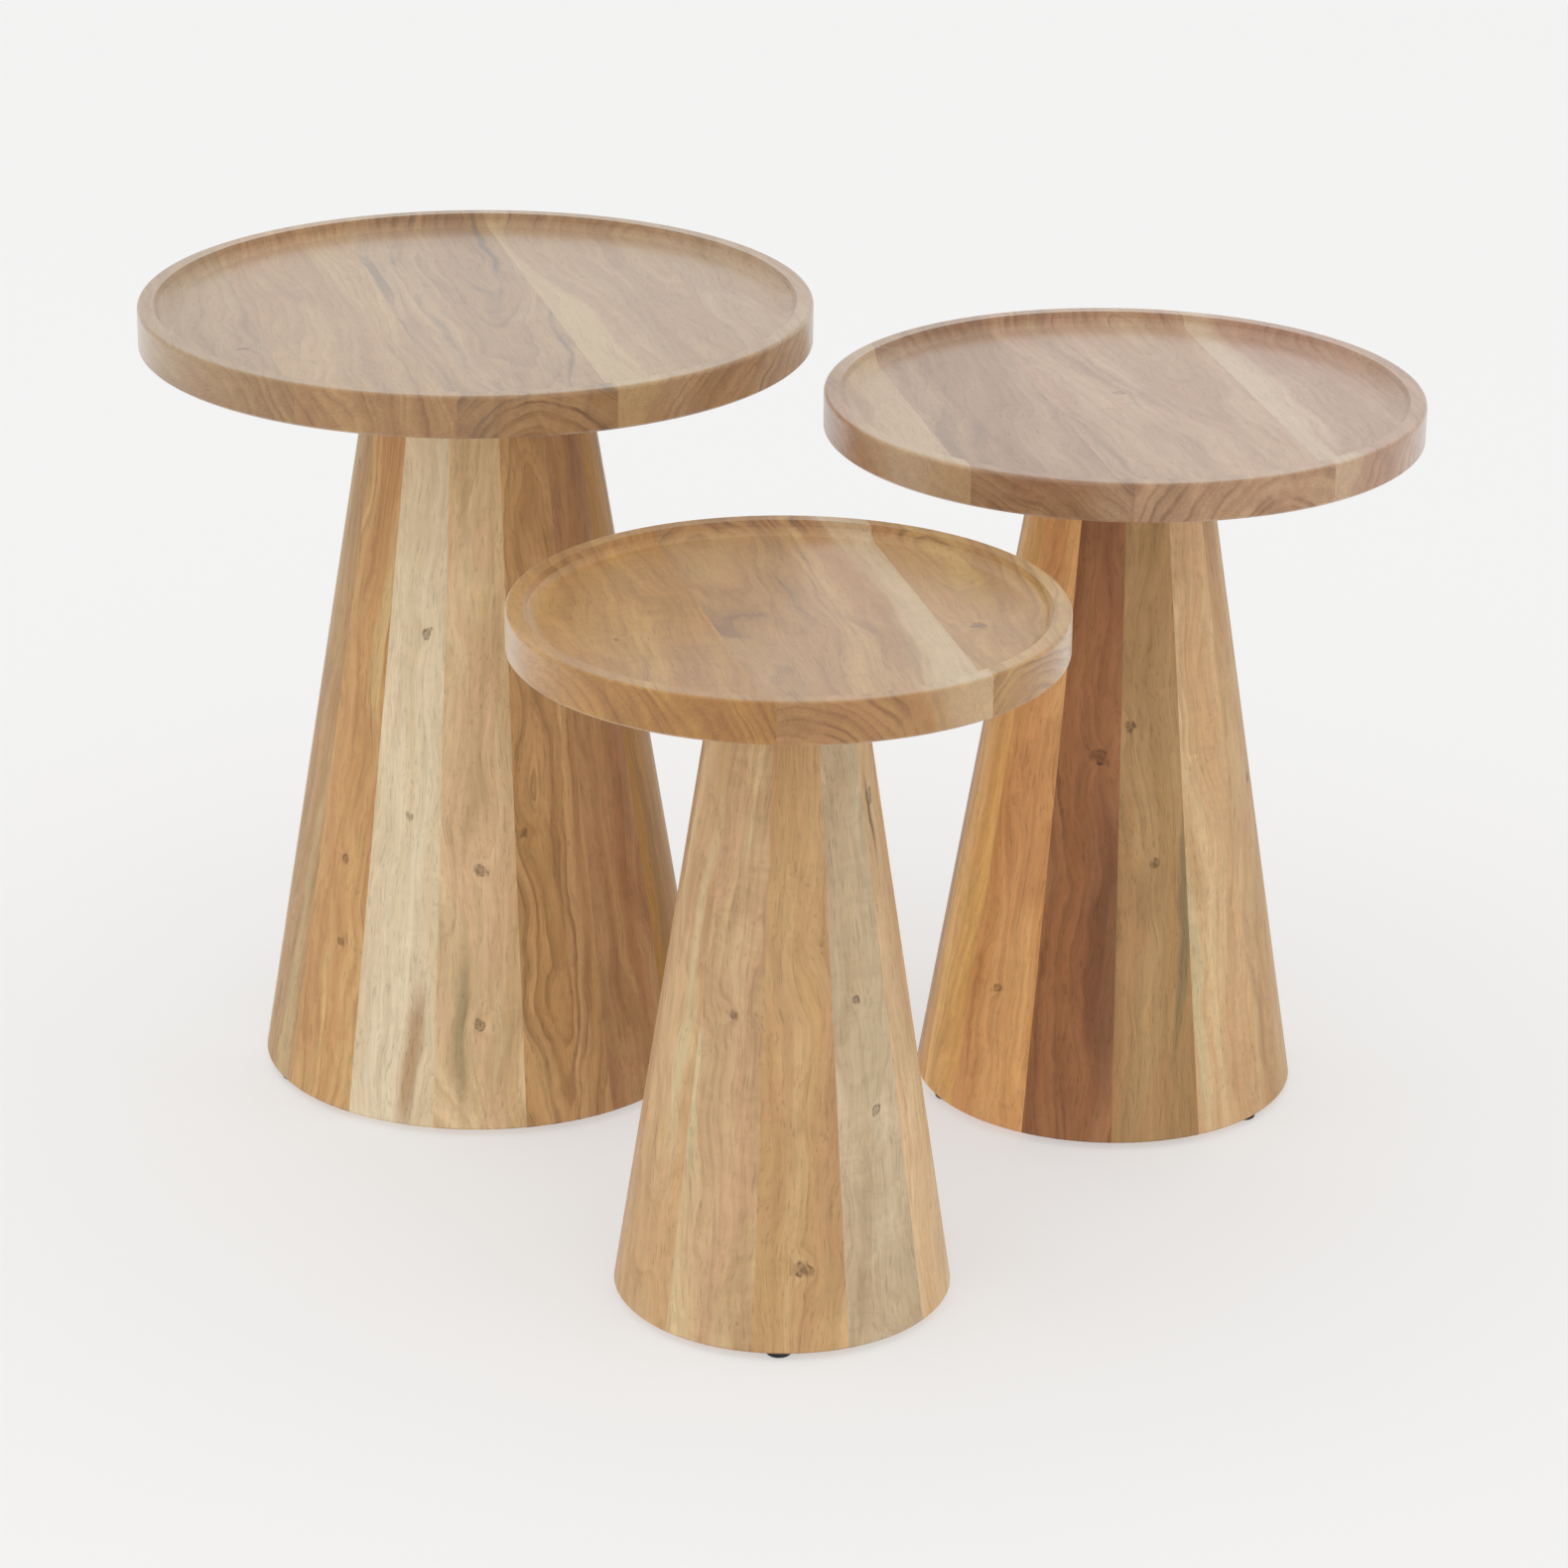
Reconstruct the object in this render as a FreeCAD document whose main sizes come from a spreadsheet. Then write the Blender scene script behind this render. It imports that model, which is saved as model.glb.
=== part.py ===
import FreeCAD
import Part
import Sketcher
import math
import os

# Three round pedestal tables that nest. Each top is a shallow tray cut into edge-glued
# planks, each pedestal is a cone built of tapered staves. Units are mm, +Z is up and
# z = 0 is the floor. The origin is under the middle of the spread-out group.

Vec = FreeCAD.Vector
doc = FreeCAD.newDocument("NestingTables")
sizes = doc.addObject("Spreadsheet::Sheet", "Sizes")

# Own sizes of each table. Turns are in degrees about the table's axis, from +X towards +Y.
# Plank joints are measured across the planks from the table's axis.
TABLES = {
    "large": {
        "diameter": 450,
        "height": 545,
        "top_thickness": 28,
        "base_diameter": 306,
        "neck_diameter": 139,
        "stave_count": 15,
        "stave_turn": -88.2,
        "plank_turn": 14.4,
        "joints": (-150, -55, 48, 151),
        "glide_turn": -156,
        "screw_count": 4,
        "screw_circle": 64,
    },
    "medium": {
        "diameter": 400,
        "height": 495,
        "top_thickness": 26,
        "base_diameter": 259,
        "neck_diameter": 109,
        "stave_count": 13,
        "stave_turn": -76.45,
        "plank_turn": 12.5,
        "joints": (-141, -48, 89),
        "glide_turn": -38,
        "screw_count": 4,
        "screw_circle": 44,
    },
    "small": {
        "diameter": 345,
        "height": 460,
        "top_thickness": 27,
        "base_diameter": 215,
        "neck_diameter": 85,
        "stave_count": 11,
        "stave_turn": -83.4,
        "plank_turn": 14,
        "joints": (-48, 87),
        "glide_turn": -91,
        "screw_count": 3,
        "screw_circle": 24,
    },
}

# Sizes shared by the three tables.
SHARED = (
    ("stave_thickness", 20, "thickness of the stave stock"),
    ("rim_width", 11, "rim of the tray, outer face to inner edge"),
    ("tray_depth", 8.5, "rim top down to the tray floor"),
    ("wall_drop", 4, "height of the sloping tray wall"),
    ("wall_lean", 1.8, "how far the sloping wall leans inwards"),
    ("cove_width", 9, "width of the hollow curve from wall to floor"),
    ("rim_round", 2.5, "round on the rim's outer top edge"),
    ("under_round", 1.5, "round on the top's lower edge"),
    ("foot_ease", 1.5, "bevel round the foot of the pedestal"),
    ("glide_diameter", 16, "plastic glide disc"),
    ("glide_height", 4.5, "glide disc, floor to pedestal"),
    ("glide_ease", 1.2, "round on the glide's lower edge"),
    ("glide_inset", 3.5, "glide edge inside the pedestal's foot"),
    ("glide_count", 3, "glides under each table"),
    ("nail_diameter", 2.6, "nail of the glide"),
    ("nail_length", 16, "nail above the disc"),
    ("hole_clearance", 0.2, "all round a nail or screw in its hole"),
    ("tip_clearance", 0.5, "past the end of a nail or screw"),
    ("block_height", 22, "neck block"),
    ("glue_line", 0.05, "between neck block and staves"),
    ("screw_diameter", 4, "top screws"),
    ("screw_bite", 13, "screw length inside the plank"),
    ("screw_point", 3, "pointed end of the screw"),
    ("head_diameter", 8, "screw head"),
    ("head_height", 2.6, "screw head"),
    ("medium_gap", 8.6, "large top to medium top, seen from above"),
    ("medium_bearing", -4.6, "from the large table towards the medium one"),
    ("small_gap", 26.8, "large top to small top, seen from above"),
    ("small_bearing", -60.3, "from the large table towards the small one"),
)

rowCount = 0


def put(alias, content, note):
    """Write one line of the sheet and name its value."""
    global rowCount
    rowCount += 1
    sizes.set("A%d" % rowCount, note)
    sizes.set("B%d" % rowCount, str(content))
    sizes.setAlias("B%d" % rowCount, alias)


for alias, value, note in SHARED:
    put(alias, value, note)

for table, own in TABLES.items():
    for key, value in own.items():
        if key == "joints":
            for number, offset in enumerate(value, 1):
                put("%s_joint_%d" % (table, number), offset, "%s top, plank joint %d" % (table, number))
        else:
            put("%s_%s" % (table, key), value, "%s table, %s" % (table, key.replace("_", " ")))

# Worked out from the sizes above.
for table in TABLES:
    put(table + "_under", "={0}_height - {0}_top_thickness".format(table), table + " top, underside")
    put(table + "_floor", "={0}_height - tray_depth".format(table), table + " tray floor")
    put(
        table + "_lean",
        "=({0}_base_diameter - {0}_neck_diameter) / 2 / ({0}_under - glide_height)".format(table),
        table + " pedestal, inward lean for each mm of height",
    )
    put(
        table + "_inner",
        "={0}_base_diameter / 2 - stave_thickness * sqrt(1 + {0}_lean ^ 2)".format(table),
        table + " pedestal, flat inner face of a stave at the foot",
    )
    put(
        table + "_glide_radius",
        "={0}_base_diameter / 2 - glide_inset - glide_diameter / 2".format(table),
        table + " table, axis to glide",
    )
put("cove_drop", "=tray_depth - wall_drop", "height of the hollow curve")
put("cove_radius", "=(cove_width ^ 2 + cove_drop ^ 2) / 2 / cove_drop", "radius of the hollow curve")

# Where the tables stand, with the origin in the middle of the group's outline.
for other in ("medium", "small"):
    reach = "((large_diameter + {0}_diameter) / 2 + {0}_gap)".format(other)
    put(other + "_dx", "={1} * cos({0}_bearing)".format(other, reach), "large axis to " + other + " axis, X")
    put(other + "_dy", "={1} * sin({0}_bearing)".format(other, reach), "large axis to " + other + " axis, Y")
put("large_x", "=(large_diameter - medium_diameter) / 4 - medium_dx / 2", "large table's axis")
put("large_y", "=(small_diameter - large_diameter) / 4 - small_dy / 2", "large table's axis")
for other in ("medium", "small"):
    put(other + "_x", "=large_x + {0}_dx".format(other), other + " table's axis")
    put(other + "_y", "=large_y + {0}_dy".format(other), other + " table's axis")
doc.recompute()


def size(text):
    """Present value of an expression written with the sheet's names."""
    return float(sizes.evalExpression(text))


ALIASES = sorted((sizes.getAlias("B%d" % n) for n in range(1, rowCount + 1)), key=len, reverse=True)


def bound(text):
    """The same expression as other objects have to write it."""
    out = ""
    word = ""
    for letter in text + " ":
        if letter.isalnum() or letter == "_":
            word += letter
            continue
        out += "Sizes." + word if word in ALIASES else word
        out += letter
        word = ""
    return out.strip()


def bind(thing, prop, text):
    """Drive a property from the sheet."""
    thing.setExpression(prop, bound(text))


def newBody(name, table, turn):
    """A body standing on the table's axis and turned about it."""
    body = doc.addObject("PartDesign::Body", name)
    body.Label = name
    bind(body, "Placement.Base.x", table + "_x")
    bind(body, "Placement.Base.y", table + "_y")
    bind(body, "Placement.Rotation.Angle", turn)
    return body


def originPart(body, role):
    """Plane or axis of the body's own origin."""
    return [part for part in body.Origin.OriginFeatures if part.Role == role][0]


def newSketch(body, name, role):
    """Empty sketch on a plane of the body's own origin."""
    sketch = body.newObject("Sketcher::SketchObject", name)
    sketch.AttachmentSupport = [(originPart(body, role), "")]
    sketch.MapMode = "FlatFace"
    return sketch


def hold(sketch, kind, geo, corner, text):
    """Tie one corner of the sketch to the sheet, measured from the sketch's origin."""
    value = size(text)
    number = sketch.addConstraint(Sketcher.Constraint("Distance" + kind, -1, 1, geo, corner, value))
    bind(sketch, "Constraints[%d]" % number, text)


def addLoop(sketch, corners, arcs=None):
    """Closed outline. arcs gives, by side number, (centre x, centre y, radius, bulge side)."""
    arcs = arcs or {}
    points = [Vec(size(x), size(y), 0) for x, y in corners]
    first = sketch.GeometryCount
    count = len(points)
    ends = []
    for side in range(count):
        start = points[side]
        stop = points[(side + 1) % count]
        if side in arcs:
            centreX, centreY, radius, turn = arcs[side]
            centre = Vec(size(centreX), size(centreY), 0)
            fromAngle = math.atan2(start.y - centre.y, start.x - centre.x)
            toAngle = math.atan2(stop.y - centre.y, stop.x - centre.x)
            circle = Part.Circle(centre, Vec(0, 0, 1), size(radius))
            if turn > 0:
                sketch.addGeometry(Part.ArcOfCircle(circle, fromAngle, toAngle))
                ends.append((1, 2))
            else:
                sketch.addGeometry(Part.ArcOfCircle(circle, toAngle, fromAngle))
                ends.append((2, 1))
        else:
            sketch.addGeometry(Part.LineSegment(start, stop))
            ends.append((1, 2))
    for side in range(count):
        after = (side + 1) % count
        joined = (first + side, ends[side][1], first + after, ends[after][0])
        sketch.addConstraint(Sketcher.Constraint("Coincident", *joined))
    for side, (x, y) in enumerate(corners):
        hold(sketch, "X", first + side, ends[side][0], x)
        hold(sketch, "Y", first + side, ends[side][0], y)
    for side in arcs:
        radius = arcs[side][2]
        number = sketch.addConstraint(Sketcher.Constraint("Radius", first + side, size(radius)))
        bind(sketch, "Constraints[%d]" % number, radius)


def addCircle(sketch, x, y, diameter):
    """Circle tied to the sheet."""
    geo = sketch.addGeometry(Part.Circle(Vec(size(x), size(y), 0), Vec(0, 0, 1), size(diameter) / 2))
    hold(sketch, "X", geo, 3, x)
    hold(sketch, "Y", geo, 3, y)
    number = sketch.addConstraint(Sketcher.Constraint("Diameter", geo, size(diameter)))
    bind(sketch, "Constraints[%d]" % number, diameter)


def revolve(body, sketch, name, angle=None):
    """Turn the sketch about its own upright axis."""
    solid = body.newObject("PartDesign::Revolution", name)
    solid.Profile = sketch
    solid.ReferenceAxis = (sketch, ["V_Axis"])
    if angle is None:
        solid.Angle = 360
    else:
        solid.Midplane = True
        bind(solid, "Angle", angle)
    return solid


def cutThrough(body, sketch, name):
    """Cut right through, both ways from the sketch."""
    cut = body.newObject("PartDesign::Pocket", name)
    cut.Profile = sketch
    cut.Type = "ThroughAll"
    cut.Midplane = True
    return cut


def cutUp(body, sketch, name, length):
    """Cut upwards from the floor plane."""
    cut = body.newObject("PartDesign::Pocket", name)
    cut.Profile = sketch
    cut.Reversed = True
    bind(cut, "Length", length)
    return cut


def repeat(body, feature, name, count):
    """Repeat a feature evenly round the table's axis."""
    pattern = body.newObject("PartDesign::PolarPattern", name)
    pattern.Originals = [feature]
    pattern.Axis = (originPart(body, "Z_Axis"), [""])
    pattern.Angle = 360
    bind(pattern, "Occurrences", count)
    body.Tip = pattern


def turned(table, radius, ownTurn, bodyTurn):
    """Place on a circle round the table's axis, as seen by a body turned about that axis."""
    angle = "({0}) - ({1})".format(ownTurn, bodyTurn)
    return "{0} * cos({1})".format(radius, angle), "{0} * sin({1})".format(radius, angle)


def nearestTurn(degrees):
    """The same turn written between -180 and 180."""
    return (degrees + 180) % 360 - 180


def makeStave(table, number):
    """Tapered stave: round outside, flat inside, a nail hole where a glide sits under it."""
    name = "%s_stave_%02d" % (table, number + 1)
    turn = "{0}_stave_turn + {1} * 360 / {0}_stave_count".format(table, number)
    body = newBody(name, table, turn)
    outline = newSketch(body, name + "_section", "XZ_Plane")
    half = table + "_base_diameter / 2"
    addLoop(outline, [
        ("0", "glide_height"),
        (half + " - foot_ease", "glide_height"),
        ("{0} - foot_ease * {1}_lean".format(half, table), "glide_height + foot_ease"),
        (table + "_neck_diameter / 2", table + "_under"),
        ("0", table + "_under"),
    ])
    revolve(body, outline, name + "_wedge", "360 / {0}_stave_count".format(table))
    inside = newSketch(body, name + "_inside", "XZ_Plane")
    low = "{0}_inner + 9 * {0}_lean".format(table)
    high = "{0}_inner - {0}_lean * ({0}_under - glide_height + 9)".format(table)
    addLoop(inside, [
        ("-9", "glide_height - 9"),
        (low, "glide_height - 9"),
        (high, table + "_under + 9"),
        ("-9", table + "_under + 9"),
    ])
    cutThrough(body, inside, name + "_flat")
    share = 360 / size(table + "_stave_count")
    for glide in range(int(size("glide_count"))):
        glideTurn = "{0}_glide_turn + {1} * 360 / glide_count".format(table, glide)
        if abs(nearestTurn(size(glideTurn) - size(turn))) > share / 2:
            continue
        hole = newSketch(body, name + "_nail", "XY_Plane")
        x, y = turned(table, table + "_glide_radius", glideTurn, turn)
        addCircle(hole, x, y, "nail_diameter + 2 * hole_clearance")
        cutUp(body, hole, name + "_nail_hole", "glide_height + nail_length + tip_clearance")
    return body


def turnedIn(centre, radius, step):
    """Distance out from the axis of a small bevel's corner, one of five over a quarter turn."""
    return "{0} + {1} * cos({2} * 22.5)".format(centre, radius, step)


def turnedUp(centre, radius, step):
    """Height of the same corner."""
    return "{0} + {1} * sin({2} * 22.5)".format(centre, radius, step)


def makePlank(table, number):
    """One strip of the tray, rim included, with blind holes where the screws come up."""
    joints = len(TABLES[table]["joints"])
    name = "%s_plank_%d" % (table, number + 1)
    turn = table + "_plank_turn"
    body = newBody(name, table, turn)
    outline = newSketch(body, name + "_section", "XZ_Plane")
    edge = table + "_diameter / 2"
    top = table + "_height"
    under = table + "_under"
    wall = edge + " - rim_width - wall_lean"
    rim = edge + " - rim_round"
    crest = top + " - rim_round"
    softened = [(turnedIn(rim, "rim_round", step), turnedUp(crest, "rim_round", step)) for step in range(5)]
    addLoop(outline, [
        ("0", under),
        (edge + " - under_round", under),
        (edge, under + " + under_round"),
        *softened,
        (edge + " - rim_width", top),
        (wall, top + " - wall_drop"),
        (wall + " - cove_width", table + "_floor"),
        ("0", table + "_floor"),
    ], {
        9: (wall + " - cove_width", table + "_floor + cove_radius", "cove_radius", -1),
    })
    revolve(body, outline, name + "_tray")
    beyond = newSketch(body, name + "_beyond", "XY_Plane")
    far = edge + " + 9"
    low = -math.inf
    high = math.inf
    if number > 0:
        joint = "{0}_joint_{1}".format(table, number)
        low = size(joint)
        addLoop(beyond, [("-(%s)" % far, "-(%s)" % far), (joint, "-(%s)" % far), (joint, far), ("-(%s)" % far, far)])
    if number < joints:
        joint = "{0}_joint_{1}".format(table, number + 1)
        high = size(joint)
        addLoop(beyond, [(joint, "-(%s)" % far), (far, "-(%s)" % far), (far, far), (joint, far)])
    cutThrough(body, beyond, name + "_joints")
    holes = []
    for screw in range(int(size(table + "_screw_count"))):
        screwTurn = "{0} * 360 / {1}_screw_count".format(screw, table)
        x, y = turned(table, table + "_screw_circle / 2", screwTurn, turn)
        if low < size(x) < high:
            holes.append((x, y))
    if holes:
        pilots = newSketch(body, name + "_pilots", "XY_Plane")
        for x, y in holes:
            addCircle(pilots, x, y, "screw_diameter + 2 * hole_clearance")
        cutUp(body, pilots, name + "_pilot_holes", under + " + screw_bite + tip_clearance")
    return body


def makeBlock(table):
    """Many-sided plug glued inside the neck, drilled for the top screws."""
    name = table + "_neck_block"
    turn = table + "_stave_turn"
    body = newBody(name, table, turn)
    count = int(size(table + "_stave_count"))
    rise = "({0}_under - glide_height - block_height)".format(table)
    reach = "({0}_inner - {0}_lean * {1} - glue_line)".format(table, rise)
    corners = []
    for corner in range(count):
        angle = "({0} + 0.5) * 360 / {1}_stave_count".format(corner, table)
        out = "{0} / cos(180 / {1}_stave_count)".format(reach, table)
        corners.append(("{0} * cos({1})".format(out, angle), "{0} * sin({1})".format(out, angle)))
    plan = newSketch(body, name + "_plan", "XY_Plane")
    bind(plan, "AttachmentOffset.Base.z", "{0}_under - block_height".format(table))
    addLoop(plan, corners)
    plug = body.newObject("PartDesign::Pad", name + "_plug")
    plug.Profile = plan
    bind(plug, "Length", "block_height")
    bind(plug, "TaperAngle", "-atan({0}_lean)".format(table))
    holes = newSketch(body, name + "_holes", "XY_Plane")
    for screw in range(int(size(table + "_screw_count"))):
        screwTurn = "{0} * 360 / {1}_screw_count".format(screw, table)
        x, y = turned(table, table + "_screw_circle / 2", screwTurn, turn)
        addCircle(holes, x, y, "screw_diameter + 2 * hole_clearance")
    cutThrough(body, holes, name + "_drilled")
    return body


def makeScrews(table):
    """Round-headed screws up through the neck block into the top."""
    name = table + "_top_screws"
    body = newBody(name, table, "0")
    section = newSketch(body, name + "_section", "XZ_Plane")
    bind(section, "AttachmentOffset.Base.x", table + "_screw_circle / 2")
    seat = "{0}_under - block_height".format(table)
    end = "{0}_under + screw_bite".format(table)
    addLoop(section, [
        ("0", seat + " - head_height"),
        ("head_diameter * 0.3", seat + " - head_height"),
        ("head_diameter / 2", seat + " - head_height / 2"),
        ("head_diameter / 2", seat),
        ("screw_diameter / 2", seat),
        ("screw_diameter / 2", end + " - screw_point"),
        ("0", end),
    ])
    screw = revolve(body, section, name + "_screw")
    repeat(body, screw, name + "_set", table + "_screw_count")
    return body


def makeGlides(table):
    """Nail-on plastic glides under the foot of the pedestal."""
    name = table + "_glides"
    body = newBody(name, table, table + "_glide_turn")
    section = newSketch(body, name + "_section", "XZ_Plane")
    bind(section, "AttachmentOffset.Base.x", table + "_glide_radius")
    edge = "glide_diameter / 2"
    addLoop(section, [
        ("0", "0"),
        (edge + " - glide_ease", "0"),
        (edge, "glide_ease"),
        (edge, "glide_height"),
        ("nail_diameter / 2", "glide_height"),
        ("nail_diameter / 2", "glide_height + nail_length - nail_diameter"),
        ("0", "glide_height + nail_length"),
    ], {
        1: (edge + " - glide_ease", "glide_ease", "glide_ease", 1),
    })
    glide = revolve(body, section, name + "_glide")
    repeat(body, glide, name + "_set", "glide_count")
    return body


bodies = []
for table, own in TABLES.items():
    for number in range(own["stave_count"]):
        bodies.append(makeStave(table, number))
    for number in range(len(own["joints"]) + 1):
        bodies.append(makePlank(table, number))
    bodies.append(makeBlock(table))
    bodies.append(makeScrews(table))
    bodies.append(makeGlides(table))
doc.recompute()

bad = [thing.Name for thing in doc.Objects if "Invalid" in thing.State or "Error" in thing.State]
if bad:
    raise RuntimeError("objects in error: " + ", ".join(bad))

os.makedirs("parts", exist_ok=True)
for body in bodies:
    shape = body.Shape
    if shape.isNull() or not shape.isValid() or not shape.Solids:
        raise RuntimeError(body.Label + " has no valid solid")
    shape.exportStep("parts/%s.step" % body.Label)
    box = shape.optimalBoundingBox()
    facts = (body.Label, len(shape.Solids), box.XMin, box.XMax, box.YMin, box.YMax, box.ZMin, box.ZMax)
    print("%-18s solids %d  x %8.2f %8.2f  y %8.2f %8.2f  z %7.2f %7.2f" % facts)
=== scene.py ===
import math
import random

import bpy
from mathutils import Matrix, Vector

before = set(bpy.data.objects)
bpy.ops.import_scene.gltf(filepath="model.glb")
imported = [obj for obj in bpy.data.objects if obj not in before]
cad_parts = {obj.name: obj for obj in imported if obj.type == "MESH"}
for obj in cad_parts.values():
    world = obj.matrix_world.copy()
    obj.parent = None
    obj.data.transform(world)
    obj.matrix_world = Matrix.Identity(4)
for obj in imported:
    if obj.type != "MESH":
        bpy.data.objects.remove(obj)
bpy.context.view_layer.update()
print("frame loaded:", len(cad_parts), "nodes")


def hexColour(text):
    # "#c89b6c" to the linear colour that shaders use
    parts = [int(text[i:i + 2], 16) / 255 for i in (1, 3, 5)]
    return [p / 12.92 if p <= 0.04045 else ((p + 0.055) / 1.055) ** 2.4 for p in parts] + [1.0]


def startGroup(name, inputs, outputs):
    tree = bpy.data.node_groups.new(name, "ShaderNodeTree")
    for label, kind in inputs:
        tree.interface.new_socket(name=label, in_out="INPUT", socket_type="NodeSocket" + kind)
    for label, kind in outputs:
        tree.interface.new_socket(name=label, in_out="OUTPUT", socket_type="NodeSocket" + kind)
    return tree, tree.nodes.new("NodeGroupInput").outputs, tree.nodes.new("NodeGroupOutput").inputs


def feed(tree, socket, value):
    # links another node's output, or sets a plain number, vector or colour
    if isinstance(value, bpy.types.NodeSocket):
        tree.links.new(value, socket)
    elif value is not None:
        socket.default_value = value


def calc(tree, operation, a, b=None, c=None):
    node = tree.nodes.new("ShaderNodeMath")
    node.operation = operation
    for socket, value in zip(node.inputs, (a, b, c)):
        feed(tree, socket, value)
    return node.outputs[0]


def swing(tree, base, wobble, size):
    # base pushed up and down by a noise that runs round 0.5
    return calc(tree, "MULTIPLY_ADD", calc(tree, "SUBTRACT", wobble, 0.5), size, base)


def distance(tree, a, b):
    return calc(tree, "SQRT", calc(tree, "MULTIPLY_ADD", a, a, calc(tree, "MULTIPLY", b, b)))


def vectorCalc(tree, operation, a, b=None):
    node = tree.nodes.new("ShaderNodeVectorMath")
    node.operation = operation
    feed(tree, node.inputs[0], a)
    feed(tree, node.inputs["Scale"] if operation == "SCALE" else node.inputs[1], b)
    return node.outputs["Value"] if operation in ("LENGTH", "DOT_PRODUCT") else node.outputs["Vector"]


def vectorSwing(tree, wobble, size):
    # how far a cloudy noise pushes a point, to and fro in all three directions
    return vectorCalc(tree, "SCALE", vectorCalc(tree, "SUBTRACT", wobble, (0.5, 0.5, 0.5)), size)


def ramp(tree, value, low, high, toLow=0.0, toHigh=1.0):
    node = tree.nodes.new("ShaderNodeMapRange")
    node.interpolation_type = "SMOOTHSTEP"
    labels = ("Value", "From Min", "From Max", "To Min", "To Max")
    for label, number in zip(labels, (value, low, high, toLow, toHigh)):
        feed(tree, node.inputs[label], number)
    return node.outputs["Result"]


def blendColour(tree, amount, first, second, how="MIX"):
    node = tree.nodes.new("ShaderNodeMix")
    node.data_type = "RGBA"
    node.blend_type = how
    feed(tree, node.inputs["Factor"], amount)
    feed(tree, node.inputs["A"], first)
    feed(tree, node.inputs["B"], second)
    return node.outputs["Result"]


def stain(tree, base, colour, mask, strength):
    # base with some colour laid over it where the mask is high
    return blendColour(tree, calc(tree, "MULTIPLY", mask, strength), base, colour)


def noise(tree, vector, scale, detail=2.0, rough=0.5, distortion=0.0):
    node = tree.nodes.new("ShaderNodeTexNoise")
    feed(tree, node.inputs["Vector"], vector)
    labels = ("Scale", "Detail", "Roughness", "Distortion")
    for label, number in zip(labels, (scale, detail, rough, distortion)):
        feed(tree, node.inputs[label], number)
    return node.outputs["Fac"], node.outputs["Color"]


def boardNoise(tree, given, scale, detail=2.0, rough=0.5, distortion=0.0):
    # noise with a scale of its own through, across and along a board; the seed keeps boards apart
    scaled = vectorCalc(tree, "MULTIPLY", given["Board"], scale)
    shift = tree.nodes.new("ShaderNodeCombineXYZ")
    for axis, factor in zip("XYZ", (7.1, 3.7, 5.3)):
        feed(tree, shift.inputs[axis], calc(tree, "MULTIPLY", given["Seed"], factor))
    point = vectorCalc(tree, "ADD", scaled, shift.outputs["Vector"])
    return noise(tree, point, 1.0, detail, rough, distortion)


def split(tree, vector):
    node = tree.nodes.new("ShaderNodeSeparateXYZ")
    feed(tree, node.inputs[0], vector)
    return node.outputs["X"], node.outputs["Y"], node.outputs["Z"]


def spaced(label):
    # ringGap to Ring Gap
    return "".join(" " + c if c.isupper() else c for c in label).strip().title()


def place(tree, group, **values):
    node = tree.nodes.new("ShaderNodeGroup")
    node.node_tree = group
    for label, value in values.items():
        feed(tree, node.inputs[spaced(label)], value)
    return node.outputs


# A board's own axes: X through its thickness, Y across its width, Z along the grain.
# Noise scales are counts per metre in that order.
ringShape = {
    "slowNoise": (9, 9, 3.2), "quickNoise": (60, 60, 14), "crumbNoise": (170, 170, 120),
    "quickShare": 0.12, "knotSquash": (0.25, 1.0, 1.15), "knotRagged": 0.009, "knotSmallest": 0.0001,
    "knotFalloff": -0.16, "knotPush": 1.7, "knotFace": (1.30, 0.25), "knotRim": (1.35, 1.00),
    "knotInside": (0.45, 1.00),
}


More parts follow.
